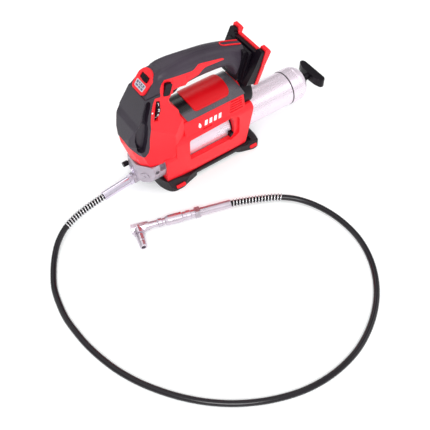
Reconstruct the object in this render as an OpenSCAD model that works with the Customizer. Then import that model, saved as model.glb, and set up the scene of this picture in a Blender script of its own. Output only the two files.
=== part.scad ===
// Cordless grease gun: pump head and grease barrel in a two-shell housing with a
// loop handle, an empty battery dock, a skid base and a flexible delivery hose.
// Frame: X runs along the barrel (front is -X), Z is up, the feet stand on Z = 0.

/* [Overall] */
// Half of the length from the front guard to the back of the pull handle
half_length = 190; // [186:1:196]
// Height of the barrel's axis over the floor
axis_z = 49; // [48:0.5:50]

/* [Barrel] */
// Outside diameter of the grease barrel
barrel_d = 57; // [56:0.5:57]
// Wall thickness of the barrel
barrel_wall = 1.6; // [1.2:0.1:2]
// Place of the seam between the barrel and its end cap
seam_x = 120; // [118:1:122]

/* [Housing] */
// Half width of the housing at the barrel
body_hw = 38; // [38:0.5:39]
// Wall thickness of the moulded shells
wall = 2.8; // [2.4:0.1:3]
// Half width over the feet
foot_hw = 48; // [46:1:50]

/* [Hose] */
// Outside diameter of the hose
hose_d = 9; // [8.6:0.1:9]

/* [Drive] */
// Teeth on the motor pinion
pinion_teeth = 14; // [14:1:14]
// Teeth on the crank gear
gear_teeth = 36; // [36:1:36]
// Offset of the crank pin, half of the pump's stroke
crank_r = 4; // [3:0.5:4]

/* [Hidden] */

$fn = 64;
eps = 0.01;
// Space between pieces that don't touch
gap = 0.25;
barrel_r = barrel_d / 2;
tunnel_r = barrel_r + 1.3;
module_mm = 1;
motor_z = axis_z + 55.5;
crank_z = motor_z + module_mm * (pinion_teeth + gear_teeth) / 2 + 0.2;
head_r = 36;
x_head = -176;
x_block = -137.5;
x_neck = -118;
x_win0 = -94;
x_win1 = -8;
x_hoop = 27;
win_z0 = 43;
win_z1 = 88;
top_z = 217;
cover_r = 32.4;
dock_tilt = 14.5;
panel_slope = 49.5;
panel_at = [-140.6, 0, 203.4];
dial_at = [-138.5, -13.5, 163.5];
dial_tilt = 18;
dial_r = 16;
piston_x = -149;

black = "#2b2a2e";
red = "#d8232a";
steel = "silver";

function unit(v) = v / norm(v);
function arc(c, r, a0, a1, n = 8) =
  [for (i = [0:n]) c + r * [cos(a0 + (a1 - a0) * i / n), sin(a0 + (a1 - a0) * i / n)]];
// Outline with each corner replaced by a short curve that starts d before it
function soft(pts, d = 5, n = 3) = [for (i = [0:len(pts) - 1])
  let (m = len(pts), p = pts[i], a = pts[(i + m - 1) % m] - p, b = pts[(i + 1) % m] - p,
    qa = min(d, norm(a) / 2.02), qb = min(d, norm(b) / 2.02))
  for (k = [0:n]) let (t = k / n)
    (1 - t) ^ 2 * (p + qa * unit(a)) + 2 * t * (1 - t) * p + t ^ 2 * (p + qb * unit(b))];
function mirrored(half) =
  concat(half, [for (i = [len(half) - 1:-1:0]) if (half[i][0] > 0) [-half[i][0], half[i][1]]]);
function mirrored_y(half) =
  concat(half, [for (i = [len(half) - 1:-1:0]) if (half[i][1] > 0) [half[i][0], -half[i][1]]]);

// ---- placing helpers
module side(pts, hw) rotate([90, 0, 0]) linear_extrude(2 * hw, center = true) polygon(pts);
module side_at(pts, y0, y1) translate([0, y1, 0]) rotate([90, 0, 0]) linear_extrude(y1 - y0) polygon(pts);
module plan(pts, z0, z1) translate([0, 0, z0]) linear_extrude(z1 - z0) polygon(pts);
module front(pts, x0, x1) translate([x0, 0, 0]) rotate([90, 0, 90]) linear_extrude(x1 - x0) polygon(pts);
module xcyl(r, x0, x1, z = axis_z, y = 0) translate([x0, y, z]) rotate([0, 90, 0]) cylinder(r = r, h = x1 - x0);
module xtube(ro, ri, x0, x1, z = axis_z) difference() {
  xcyl(ro, x0, x1, z);
  xcyl(ri, x0 - 1, x1 + 1, z);
}
module block(lo, hi) translate(lo) cube(hi - lo);
module revolve_x(profile) translate([0, 0, axis_z]) rotate([0, 90, 0]) rotate_extrude()
  polygon([for (p = profile) [p[1], p[0]]]);
// Along the line from a point in a direction
module aim(at, dir) translate(at) rotate([0, acos(dir[2] / norm(dir)), atan2(dir[1], dir[0])]) children();

// ---- outlines: gearcase in side, plan and front view
gear_side = [[-98, 40], [-137.4, 40], [-137.6, 60.6], [-171, 60.6], [-177, 65], [-188, 88], [-191, 98],
  [-half_length, 112], [-188, 118.5], [-177.5, 144.2], [-171, 152], [-153.5, 188], [-131, 214.8], [-123, top_z],
  [-104, top_z], [-104, 187], [-116.5, 172], [-116.5, 167], [-104, 150], [-104, 140], [-98, 128]];
gear_plan = [[-half_length, 0], [-184.5, 17.5], [-177, 25.5], [-150, 32.5],
  [x_neck, body_hw], [-98, 32.5], [-98, 0]];
gear_front = [[0, 40], [17, 40.5], [28, 49], [body_hw - 1, 64], [body_hw, 80], [body_hw, 112], [33.5, 132],
  [28, 155], [23.5, 178], [22.3, 186], [17.4, 203], [15.5, 208], [11, top_z], [0, top_z]];

// wedge that cuts the chin back below the guard
chin_plan = [[-half_length, 0], [-184.5, 17.5], [-177, 25.5], [-160, 60], [-60, 60], [-60, 0]];
chin_tilt = 15.3;
module gearcase(g = 0) intersection() {
  translate([-half_length, 0, 110]) rotate([0, -chin_tilt, 0]) translate([half_length, 0, 0])
    plan(offset_pts(mirrored_y(chin_plan), g, 2), -90, 130);
  side(offset_pts(gear_side, g, 2), 60);
  plan(offset_pts(mirrored_y(gear_plan), g, 2), 0, 260);
  front(offset_pts(mirrored(gear_front), g), -220, -80);
}
// Moves each edge of a closed outline outwards by g, then rounds the corners
function side_of(pts) = sign(sum_area(pts));
function sum_area(pts, i = 0) = i == len(pts) ? 0 :
  let (a = pts[i], b = pts[(i + 1) % len(pts)]) a[0] * b[1] - a[1] * b[0] + sum_area(pts, i + 1);
function offset_pts(pts, g, d = 5) = let (s = side_of(pts), m = len(pts)) soft([for (i = [0:m - 1])
  let (p = pts[i], u = unit(p - pts[(i + m - 1) % m]), v = unit(pts[(i + 1) % m] - p),
    nu = s * [u[1], -u[0]], nv = s * [v[1], -v[0]], h = unit(nu + nv))
  p + h * g / (h * nu)], d);

// ---- handle: rings of a rounded section along X
// [x, top, bottom, half width, squareness]
handle_stations = [[-134, 209, 180, 14.5, 3.5], [-120, 215.5, 175, 18.3, 4], [-104, 217.4, 173.5, 19.3, 3.8],
  [-84, 217.8, 173, 18.5, 3], [-62, 216.3, 172.5, 17.5, 2.5], [-40, 212.8, 172, 17.5, 2.5],
  [-20, 207.5, 170.5, 17.5, 2.5], [-8, 203.8, 167, 17.7, 2.5], [-1, 201.7, 160, 18, 2.5], [4, 200, 148, 18.5, 2.5],
  [10, 197.8, 132, 19, 2.5], [24, 192.5, 120, 20, 2.5]];
function section(s, g, n = 28) = let (p = s[4]) [for (i = [0:n - 1])
  let (a = 360 * (i + 0.5) / n, c = cos(a), d = sin(a), mid = (s[1] + s[2]) / 2, h = (s[1] - s[2]) / 2 + g)
  [s[0], (s[3] + g) * sign(c) * abs(c) ^ (2 / p), mid + h * sign(d) * abs(d) ^ (2 / p)]];
module skin(rings) {
  n = len(rings[0]);
  m = len(rings);
  polyhedron(
    points = [for (r = rings) each r],
    faces = concat(
      [[for (i = [0:n - 1]) i]],
      [for (k = [0:m - 2]) for (i = [0:n - 1])
        let (j = (i + 1) % n, a = k * n + i, b = k * n + j, c = b + n, d = a + n) each [[a, d, b], [b, d, c]]],
      [[for (i = [n - 1:-1:0]) (m - 1) * n + i]]));
}
// A curve through four stations, for a smooth run between the middle two
function between(a, b, c, d, t) = 0.5 * (2 * b + (c - a) * t + (2 * a - 5 * b + 4 * c - d) * t ^ 2
  + (3 * b - a - 3 * c + d) * t ^ 3);
function finer(s, n = 2) = concat([for (i = [0:len(s) - 2]) for (k = [0:n - 1])
  between(s[max(i - 1, 0)], s[i], s[i + 1], s[min(i + 2, len(s) - 1)], k / n)], [s[len(s) - 1]]);
module handle_skin(g = 0) skin([for (s = finer(handle_stations)) section(s, g)]);

// The red zone of the handle's side and the gearcase, in side view; guard_edge borders the front guard
guard_edge = [[-142.7, 178.6], [-147.4, 167.4], [-152.2, 150.8], [-157.3, 121.3], [-158.6, 104.2],
  [-161, 94.2], [-166.2, 87.4], [-170.5, 88], [-174.5, 92], [-178, 97.5], [-184, 107.3], [-186.5, 114],
  [-188, 118.4], [-196, 119.5]];
red_zone = concat([[-17.3, 193], [-20.5, 195.4], [-61, 204.2], [-70.4, 197.6], [-92.2, 201.5], [-107, 204.2],
  [-119, 205.9], [-127, 195], [-129.5, 183.5], [-138.3, 185]], guard_edge, [[-210, 120], [-210, 20], [-80, 20],
  [-80, 150], [-108, 158], [-106, 171], [-105.5, 179.5], [-96, 180.6], [-84, 178], [-79, 182.6],
  [-72.4, 183.8], [-61.5, 185.6], [-54.9, 191.2], [-49.3, 193.4], [-17.3, 191.4]]);
core_pts = [[-130, 204], [-116, 208], [-84, 207], [-62, 204.5], [-40, 201], [-20, 196.5],
  [-4, 191.5], [10, 187], [22, 183], [22, 134], [14, 134], [6, 166], [-4, 176], [-20, 179], [-84, 181],
  [-108, 181], [-130, 183]];
core_hollow = [[-124, 200], [-84, 203], [-62, 200.5], [-40, 197], [-20, 192.5], [-4, 187.5],
  [10, 183], [18, 180], [18, 144], [16, 150], [10, 168], [0, 179], [-20, 183], [-84, 185], [-98, 185], [-124, 187]];
core_hw = 12;

strip_front = [[0, 170], [17.4, 170], [17.6, 190], [17.2, 196], [16.6, 201], [15.4, 205], [13, 209], [0, 209]];
module red_strip() {
  intersection() {
    side(red_zone, 40);
    front(mirrored(strip_front), -84, -17);
    block([-90, -40, 174], [-17, 40, 210]);
  }
  intersection() {
    side(red_zone, 17.9);
    block([-140, -40, 174], [-83.9, 40, 210]);
  }
}

// ---- beam over the barrel, which holds the motor, in front view
beam_front = [[0, 80], [37.5, 80], [36.8, 88], [30.8, 112], [29.4, 117.4], [0, 117.4]];
block_front = [[0, 9], [30, 9], [35, 11], [body_hw, 18], [body_hw, 62], [36, 66], [0, 66]];
hoop_front = [[0, 9], [30, 9], [35, 11], [body_hw, 18], [body_hw, 88], [34, 97], [0, 97]];
hoop_side = [[x_neck, 0], [x_neck, 120], [21, 120], [x_hoop, 88], [14, 16], [12, 0]];

module housing_outer() {
  intersection() {
    gearcase(-0.8);
    union() {
      side(red_zone, 60);
      gearcase(-wall - 0.3);
    }
  }
  // lower block and side walls along the barrel
  front(soft(mirrored(block_front), 3), x_block, x_neck + 2);
  intersection() {
    front(soft(mirrored(hoop_front), 3), x_neck, x_hoop);
    side(soft(hoop_side, 5), 60);
  }
  // beam round the motor
  front(soft(mirrored(beam_front), 2), -99, 12);
  xcyl(cover_r - 3, -99, 12, motor_z);
  // handle core
  side(core_pts, core_hw);
  red_strip();
  top_line();
}

window_pts = [[x_win0, win_z0], [x_win1 - 6, win_z0], [x_win1, win_z0 + 10], [x_win1, win_z1 - 12],
  [x_win1 - 8, win_z1], [x_win0, win_z1 - 3]];
module window_cut() {
  side(soft(window_pts, 4), 60);
  // bevelled recess behind the window
  r = soft([[x_win1 - 10, win_z0 - 4], [x_win1 + 8, win_z0 + 4], [x_win1 + 8, win_z1 - 8],
    [x_win1 - 2, win_z1 + 3], [x_win1 - 14, win_z1]], 4);
  for (m = [0, 1]) mirror([0, m, 0]) side_at(r, 34.5, 60);
}

module vents() for (m = [0, 1], i = [0:4]) mirror([0, m, 0])
  translate([-17 + i, 27, 97 + 4 * i]) cube([25 - i, 20, 1.9]);

module dial_slot() translate(dial_at) rotate([0, dial_tilt, 0]) block([-3.2, -40, -15.5], [3.2, 0, 15.5]);

module housing_cavities() {
  xcyl(tunnel_r, -140, 60);
  xcyl(head_r + gap, x_block - 2, -115);
  translate([piston_x, 0, 20]) cylinder(r = piston_boss_r + gap, h = 75);
  block([piston_x, -piston_boss_r - gap, 20], [x_block, piston_boss_r + gap, 84]);
  xcyl(22.5, -99, 4, motor_z);
  block([-112, -12, motor_z - 14], [-96, 12, 131]);
  // gear room
  intersection() {
    gearcase(-wall - 2.6);
    block([-200, -60, 40], [-101, 60, 214]);
  }
  side(core_hollow, core_hw - 2.8);
  window_cut();
  vents();
  dial_slot();
  difference() {
    clip_zone(1.6);
    gearcase(-11.8);
  }
  // trigger mouth and lock button holes
  block([-106.5, -9.5, 145], [-86.5, 9.5, 186]);
  lock_place() block([-5.7, -60, -10.2], [5.7, 60, 10.2]);
  // pocket for the motor cover
  intersection() {
    xtube(cover_r + 20, cover_r - 2.95, -104, 17, motor_z);
    side(offset_pts(cover_side, 0.2), 60);
  }
  // thin groove under the badge, on the left side
  for (m = [0, 1]) mirror([0, m, 0]) translate([-68, 33.6, 92.5]) cube([17, 6, 2]);
  screw_bores();
  dial_place() rotate([0, 90, 0]) translate([0, 0, -3.2]) cylinder(r = dial_r + 0.6, h = 6.4);
}

screw_at = [[-128, 120], [-134, 80], [-99, 197.5], [-104, 24], [8, 24], [16, 86], [-90, 92], [-40, 190],
  [14, 174], [-14, 93]];
screw_depth = [[27], [30], [18], [33], [33], [33], [31], [11.4], [11.4], [31]];
module screw_bores() for (i = [0:len(screw_at) - 1])
  translate([screw_at[i][0], screw_depth[i][0] - 4, screw_at[i][1]]) rotate([-90, 0, 0])
    cylinder(r = 3.2, h = 60, $fn = 24);

module half_housing(s) color(red) intersection() {
  difference() {
    housing_outer();
    housing_cavities();
  }
  if (s < 0) block([-250, -80, -5], [60, 0, 260]);
  else block([-250, 0, -5], [60, 80, 260]);
}
module housing_left() half_housing(-1);
module housing_right() half_housing(1);

module housing_screws() color(steel) for (i = [0:len(screw_at) - 1])
  translate([screw_at[i][0], screw_depth[i][0] - 4, screw_at[i][1]]) rotate([-90, 0, 0]) difference() {
    cylinder(r = 3, h = 2.4, $fn = 24);
    translate([0, 0, 1.2]) cylinder(r = 1.5, h = 2, $fn = 6);
  }

// ---- black overmoulds
guard_split_z = 188.4;
// raised line round the back of the handle's top
u_line = [[30, -5.6], [-7, -5.6], [-11.5, -4], [-13, -1.4], [-13, 1.4], [-11.5, 4], [-7, 5.6], [30, 5.6],
  [30, 3.9], [-6.6, 3.9], [-10.2, 2.8], [-11.3, 1], [-11.3, -1], [-10.2, -2.8], [-6.6, -3.9], [30, -3.9]];
module top_line(g = 0) intersection() {
  plan(offset_pts(u_line, g), 170, 215);
  side([[-15, 206.8], [-8, 204.7], [-1, 202.6], [4, 200.9], [10, 198.7], [22, 194.1], [22, 182], [-15, 191]], 20);
}
module grip_overmould() color(black) difference() {
  union() {
    handle_skin();
    intersection() {
      gearcase(-0.7);
      block([-220, -60, guard_split_z + 0.15], [-104, 60, 240]);
    }
  }
  side(core_pts, core_hw + 0.05);
  gearcase(-wall - 0.25);
  side(red_zone, 60);
  side(offset_pts(red_zone, 0.3), 60);
  intersection() {
    gearcase(0.5);
    block([-130, -60, 160], [-100, 60, 206]);
    side(red_zone, 60);
  }
  bezel_pocket();
  top_line(0.1);
  block([-110, -10, 140], [-85, 10, 187]);
  side(offset_pts(cover_side, 0.2), 60);
  xcyl(cover_r + 0.25, -110, 40, motor_z);
  dock_place() block([-24, -45, -60], [40, 45, 60]);
}

guard_zone = concat([[-127.6, guard_split_z - 0.15], [-129.5, 183.5], [-138.3, 185]], guard_edge, [[-210, 120],
  [-210, guard_split_z - 0.15]]);
// pocket in each side of the guard that holds the hose's nozzle
clip = [[-148, 185], [-145.8, 181.5], [-148.2, 174], [-152.8, 164.5], [-157.5, 153], [-158.2, 143],
  [-161, 119.4], [-166, 99.5], [-168.5, 97], [-174.8, 99], [-176.6, 104], [-178.3, 124.6], [-175.8, 143.5],
  [-170.5, 151], [-166.2, 157.4], [-160.9, 170], [-154.5, 182], [-152.5, 185]];
module clip_zone(g, y0 = 8) for (m = [0, 1]) mirror([0, m, 0]) side_at(offset_pts(clip, g, 1.5), y0, 60);
module front_guard() color(black) {
  difference() {
    intersection() {
      gearcase(0);
      side(guard_zone, 60);
      block([-220, -60, 60], [-124, 60, guard_split_z]);
    }
    gearcase(-wall - 0.25);
    side(red_zone, 60);
    clip_zone(0);
  }
  difference() {
    intersection() {
      gearcase(-wall);
      clip_zone(1.4);
    }
    intersection() {
      gearcase(-10.4);
      clip_zone(3, 0);
    }
    difference() {
      clip_zone(0);
      gearcase(-9);
    }
  }
}

cover_side = [[-99.5, 145], [-99.5, 136], [-97, 130.5], [-90.5, 117.6], [14.8, 117.6], [10, 129], [5, 138], [3, 145]];
module motor_cover() color(black) difference() {
  intersection() {
    xtube(cover_r, cover_r - 2.8, -101, 16, motor_z);
    side(cover_side, 60);
  }
  badge_body(0.15);
}
badge_plan = [[-79.8, 0], [-79.5, 9], [-75, 25], [-13, 25], [-9.3, 20], [-9.3, 0]];
module badge_body(g = 0) intersection() {
  xtube(cover_r + 1.9 + g, cover_r - 2.6 - g, -101, 10, motor_z);
  plan(offset_pts(mirrored_y(badge_plan), g), 110, 150);
}
module badge_panel() color(red) badge_body();

module rear_bumper() color(black) difference() {
  intersection() {
    translate([0, 0, motor_z]) rotate([0, 90, 0]) rotate_extrude() polygon(concat(
      [[0, 12.2], [30, 12.2]], arc([23.5, 26.5], 6.5, 0, 80, 6), [[18, 33.6], [0, 33.6]]));
    block([0, -60, 97.3], [60, 60, 140]);
  }
  side(core_pts, core_hw + 0.1);
  side(offset_pts(cover_side, 0.2), 60);
  side(cover_side, 60);
  xcyl(tunnel_r, -10, 60);
  dock_place() block([-26, -45, -40], [10, 45, 40]);
}

// ---- battery dock, drawn in its own tilted frame: u backwards, v up
module dock_place() translate([41, 0, 165]) rotate([0, dock_tilt, 0]) children();
dock_outline = [[36, -34], [38.5, 0], [38.5, 26], [27, 26], [27, 18.5], [-27, 18.5], [-27, 26], [-38.5, 26],
  [-38.5, 0], [-36, -34]];
module dock_cover() color(black) difference() {
  dock_place() difference() {
    union() {
      intersection() {
        front(soft(dock_outline, 3), -24, -6.2);
        side([[-24, -40], [-10, 40], [-6, 40], [-6, -40]], 60);
      }
      front(soft([[-20, -33.8], [20, -33.8], [20, 18], [-20, 18]], 4), -30, -20);
      front(soft([[-26, -33.9], [26, -33.9], [26, 18.2], [-26, 18.2]], 4), -24, -19);
    }
    side([[0, -26], [-19.5, -26], [-11.5, 16], [0, 16]], 31);
    block([-18.1, -17.2, -20.2], [0, 17.2, 10.2]);
    for (s = [-1, 1]) translate([0, s * 30, 0]) block([-11, -5, -24], [0, 5, 16]);
  }
  side(core_pts, core_hw + 0.1);
  handle_skin(0.1);
  side(offset_pts(cover_side, 0.2), 60);
}
module dock_rim() color(red) dock_place() difference() {
  union() {
    front(soft([[37, -35], [40, -4], [40, 28.5], [27, 28.5], [25, 20], [-25, 20], [-27, 28.5], [-40, 28.5],
      [-40, -4], [-37, -35]], 2), -6, 0);
    for (s = [0, 1]) mirror([0, s, 0]) {
      side_at([[-6, 28.5], [0, 29.5], [4.5, 25], [3.5, 18], [0, 2], [-6, 2]], 27, 40);
      // rail that the battery's groove runs on
      block([-6, 25.5, -33], [-2, 33, 19]);
    }
  }
  block([-10, -25.5, -31], [4, 25.5, 17]);
  for (s = [-1, 1]) translate([0, s * 31, 0]) block([-10, -5.5, -31], [-4.2, 5.5, 21]);
}
module terminal_block() color(black) difference() {
  dock_place() difference() {
    block([-17.9, -17, -20], [-5, 17, 10]);
    for (y = [-11, -3.7, 3.7, 11]) translate([0, y, 0]) block([-14, -1.6, -21], [-4, 1.6, 8]);
  }
  side(core_pts, core_hw + 0.1);
}
module battery_terminals() color(steel) dock_place()
  for (y = [-11, -3.7, 3.7, 11]) translate([0, y, 0]) block([-13.95, -0.5, -17], [-6, 0.5, 6]);

// ---- skid base with flared feet
foot_front_pts = soft([[-146, 0], [-145, 24], [-141, 36], [-136, 44], [-128, foot_hw], [-116, foot_hw],
  [-102, 43.5], [-82, 38.6], [-82, 0]], 4);
foot_rear_pts = soft([[-16, 0], [-16, 20], [0, 38.6], [12, 42.5], [26, foot_hw - 1.5], [36, 44.5], [40, 30],
  [41, 0]], 4);
foot_slope = [[0, 0], [foot_hw, 0], [foot_hw, 3], [44, 10], [40.5, 21], [0, 21]];
foot_side = [[-160, 0], [-160, 21], [-126, 20.5], [-94, 12.5], [5, 12.5], [27, 14], [45, 12], [45, 0]];
module foot(pts, h) intersection() {
  plan(pts, 0, h);
  side(soft(foot_side, 8), 60);
  front(soft(foot_slope, 1.5), -160, 60);
}
module skid_base() color(black) difference() {
  union() {
    for (m = [0, 1]) mirror([0, m, 0]) {
      foot(foot_front_pts, 21);
      foot(foot_rear_pts, 14);
    }
    front(soft(mirrored([[0, 3.4], [33, 3.4], [39.5, 6], [39.5, 12.5], [0, 12.5]]), 1.5), -120, 10);
  }
  // the housing sits in it
  front(mirrored([[0, 8.8], [30, 8.8], [35.1, 10.8], [body_hw + 0.15, 17.9], [body_hw + 0.15, 40], [0, 40]]), x_block - 0.2, x_hoop + 0.2);
  xcyl(head_r + 0.6, -200, x_block + 1);
  xcyl(barrel_r + 3, x_hoop, 80);
  foot_pockets();
}
module insert_at(x, y, l, g = 0) for (m = [0, 1]) mirror([0, m, 0])
  translate([x, y, 7]) rotate([-59.7, 0, 0]) translate([0, 0, -2 - g]) linear_extrude(4 + 2 * g)
    polygon(soft([[-l / 2 - g, -2.7 - g], [l / 2 + g, -2.7 - g], [l / 2 + g, 2.7 + g], [-l / 2 - g, 2.7 + g]], 1.2));
module foot_pockets() {
  insert_at(-119, 46.1, 16, 0.1);
  insert_at(25, 44.4, 13, 0.1);
}
module foot_inserts() color(red) {
  insert_at(-119, 46.1, 16);
  insert_at(25, 44.4, 13);
}

// ---- selector panel on the sloping top of the front
module panel_place() translate(panel_at) rotate([0, -panel_slope, 0]) children();
// outline in (v up the slope, y)
bezel_pts = soft([[-18, -12], [-14, -15], [6, -15.5], [15, -10], [18.5, -4], [18.5, 4], [15, 10],
  [6, 15.5], [-14, 15], [-18, 12]], 3);
module panel_slab(pts, h0, h1) panel_place() translate([0, 0, h0]) linear_extrude(h1 - h0) polygon(pts);
module bezel_pocket() panel_slab([for (p = bezel_pts) p * 1.012], -1.6, 12);
module selector_bezel() color(red) difference() {
  panel_slab(bezel_pts, -1.5, 2);
  panel_slab(soft([[0, -9.5], [9, -9.5], [9, 9.5], [0, 9.5]], 2), 0.4, 8);
  panel_slab(soft([[-14, -10.5], [-3, -11.5], [-3, 11.5], [-14, 10.5]], 2), 1.2, 8);
}
module selector_plate() color("lightgray")
  panel_slab(soft([[-13.8, -10.3], [-3.2, -11.3], [-3.2, 11.3], [-13.8, 10.3]], 2), 1.2, 2);
// seat under the speed switch, on the floor of its recess
module switch_seat() color(black)
  panel_slab(soft([[0.2, -9.3], [8.8, -9.3], [8.8, 9.3], [0.2, 9.3]], 2), 0.4, 0.8);
module speed_switch() color(black) difference() {
  panel_slab(soft([[0.4, -9.2], [8.6, -9.2], [8.6, 2.6], [0.4, 2.6]], 2), 0.9, 3.8);
  for (i = [0:4]) panel_place() translate([0, -7.6 + 2.1 * i, 3.1]) block([1.5, 0, 0], [7.5, 0.9, 3]);
}

// ---- shut-off dial on the left side
module dial_place() translate(dial_at) rotate([0, dial_tilt, 0]) children();
module shutoff_dial() color(black) dial_place() rotate([0, 90, 0]) difference() {
  union() {
    translate([0, 0, -2.6]) cylinder(r = dial_r, h = 5.2);
    translate([0, 0, -5]) cylinder(r = 4, h = 10);
  }
  translate([0, 0, -6]) cylinder(r = 1.6, h = 12);
  for (i = [0:11]) rotate(30 * i) translate([dial_r, 0, -3]) cylinder(r = 1.1, h = 6, $fn = 16);
  rotate([0, -90, 0]) number_pads(0.02, 1);
}
// the twelve printed pads round the dial's rim
module number_pads(g, rise) for (i = [0:11]) rotate([30 * i + 15, 0, 0]) translate([0, -dial_r, 0])
  block([-1.7 - g, -rise, -2.4 - g], [1.7 + g, 0.4 + g, 2.4 + g]);
module dial_digits() color("white") dial_place() number_pads(0, 0.1);

// ---- trigger and lock
trigger_pts = soft([[-105, 181], [-105, 169], [-101, 163.5], [-95, 166], [-91, 171], [-88, 173], [-88, 181]], 2.5);
module trigger() color(black) side(trigger_pts, 8.5);
module lock_place() translate([-116.5, 0, 189.5]) rotate([0, dial_tilt, 0]) children();
module lock_button() color(black) lock_place() {
  for (y = [[-22.6, -13], [13, 18.6]])
    side_at(soft([[-5.5, -10], [5.5, -10], [5.5, 10], [-5.5, 10]], 3), y[0], y[1]);
  block([-2, -13.2, -1.5], [2, 13.2, 1.5]);
}
module switch_module() color("dimgray") difference() {
  block([-104, -9, 190], [-74, 9, 200]);
  block([-96, -2, 186], [-90, 2, 193]);
}
module control_board() color("darkgreen") block([-149.5, 8.6, 152], [-125, 10.2, 169]);
module power_leads() color("darkred") for (y = [-4, 4]) hull() {
  translate([-72.3, y, 196]) sphere(r = 1.5, $fn = 12);
  translate([2, y, 183]) sphere(r = 1.5, $fn = 12);
}

// ---- motor and drive
module motor_can() color("dimgray") difference() {
  xcyl(21.5, -86, -6, motor_z);
  xcyl(19.5, -84, -8, motor_z);
  xcyl(4.2, -90, 0, motor_z);
}
module motor_rings() color(black) for (x = [-80, -18]) xtube(22.4, 21.6, x, x + 6, motor_z);
module rotor() color("peru") difference() {
  union() {
    xcyl(17.5, -70, -24, motor_z);
    xcyl(9, -22, -12, motor_z);
    xcyl(2.5, -119, -3, motor_z);
  }
  for (i = [0:11]) translate([-47, 0, motor_z]) rotate([30 * i, 0, 0]) block([-25, -0.8, 15], [25, 0.8, 18]);
}
function tooth_half(r, n) = let (rp = module_mm * n / 2, rb = rp * cos(20), a = acos(min(1, rb / r)))
  90 / n - 0.35 + (tan(20) * 180 / PI - 20) - (tan(a) * 180 / PI - a);
function gear_pts(n) = let (rp = module_mm * n / 2, rb = rp * cos(20), ra = rp + 0.85 * module_mm,
    rr = rp - 1.3 * module_mm, rs = max(rb, rr))
  [for (i = [0:n - 1]) let (c = 360 * i / n) each concat(
    [rr * [cos(c - tooth_half(rs, n) - 0.4), sin(c - tooth_half(rs, n) - 0.4)]],
    [for (k = [0:4]) let (r = rs + (ra - rs) * k / 4, h = tooth_half(r, n)) r * [cos(c - h), sin(c - h)]],
    [for (k = [4:-1:0]) let (r = rs + (ra - rs) * k / 4, h = tooth_half(r, n)) r * [cos(c + h), sin(c + h)]],
    [rr * [cos(c + tooth_half(rs, n) + 0.4), sin(c + tooth_half(rs, n) + 0.4)]])];
module x_gear(n, turn, x0, x1, z, bore) translate([x0, 0, z]) rotate([90, 0, 90]) rotate(turn) difference() {
  linear_extrude(x1 - x0) polygon(gear_pts(n));
  translate([0, 0, -1]) cylinder(r = bore, h = x1 - x0 + 2);
}
module motor_pinion() color(steel) x_gear(pinion_teeth, 180 / pinion_teeth, -118, -110.5, motor_z, 2.53);
module crank_gear() color(steel) x_gear(gear_teeth, 180 / gear_teeth, -117, -111, crank_z, 5.03);
module crank_shaft() color(steel) {
  xcyl(5, -137, -110.6, crank_z);
  xcyl(11, -142.5, -137, crank_z);
  xcyl(2.5, -152.5, -142.5, crank_z, crank_r);
}
module crank_bearings() color("gray") for (x = [-135, -124.5]) xtube(10, 5.05, x, x + 5.5, crank_z);
module drive_plate() color("gray") difference() {
  block([-136, -17, crank_z - 16], [-118.4, 17, crank_z + 13]);
  xcyl(10.02, -140, -100, crank_z);
  block([-129.4, -20, crank_z - 13], [-124.6, 20, crank_z + 20]);
}
yoke_h = 2 * (2 * crank_r + 2.5 + 0.6);
yoke_w = 2 * (crank_r + 2.5 + 0.6);
module pump_yoke() color(steel) difference() {
  block([-152, -yoke_w / 2 - 3, crank_z - yoke_h / 2 - 3], [-146, yoke_w / 2 + 3, crank_z + yoke_h / 2 + 3]);
  block([-160, -yoke_w / 2, crank_z - yoke_h / 2], [-140, yoke_w / 2, crank_z + yoke_h / 2]);
}
module pump_piston() color(steel)
  translate([piston_x, 0, 62]) cylinder(r = 4, h = crank_z - yoke_h / 2 - 3 - 62);

// ---- pump head
outlet_dir = unit([-54, -2, -5]);
piston_boss_r = 10.5;
module head_body(g = 0) {
  // nose below the housing's chin
  difference() {
    intersection() {
      revolve_x([[x_head, 0], [x_head, 24], [-171, 31 + g], [-162, head_r + g], [-118, head_r + g], [-118, 0]]);
      block([-200, -60, 13.5], [x_block + 0.1, 60, 62]);
    }
    gearcase(0.3);
    // facets on both sides of the nose
    for (m = [0, 1]) mirror([0, m, 0]) translate([x_head, 13, 0]) rotate([0, 0, 52]) block([-40, 0, 0], [60, 40, 90]);
    // ledge behind each bolt
    for (m = [0, 1]) mirror([0, m, 0]) block([-147.5, 28, 49.5], [x_block + 1, 60, 70]);
  }
  intersection() {
    xcyl(head_r + g, x_block, -118);
    block([-200, -60, 13.5], [-100, 60, 100]);
  }
  translate([piston_x, 0, 30]) cylinder(r = piston_boss_r + g, h = 62);
  block([piston_x, -piston_boss_r - g, 30], [x_block + 1, piston_boss_r + g, 80]);
}
bolt_at = [-153, 32, 50];
bleed_at = [-172.4, 17.6, 38.8];
bleed_dir = [-1, 0, 0];
plug_at = [-168.2, -23, 40];
plug_dir = [-0.788, -0.616, 0];
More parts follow.
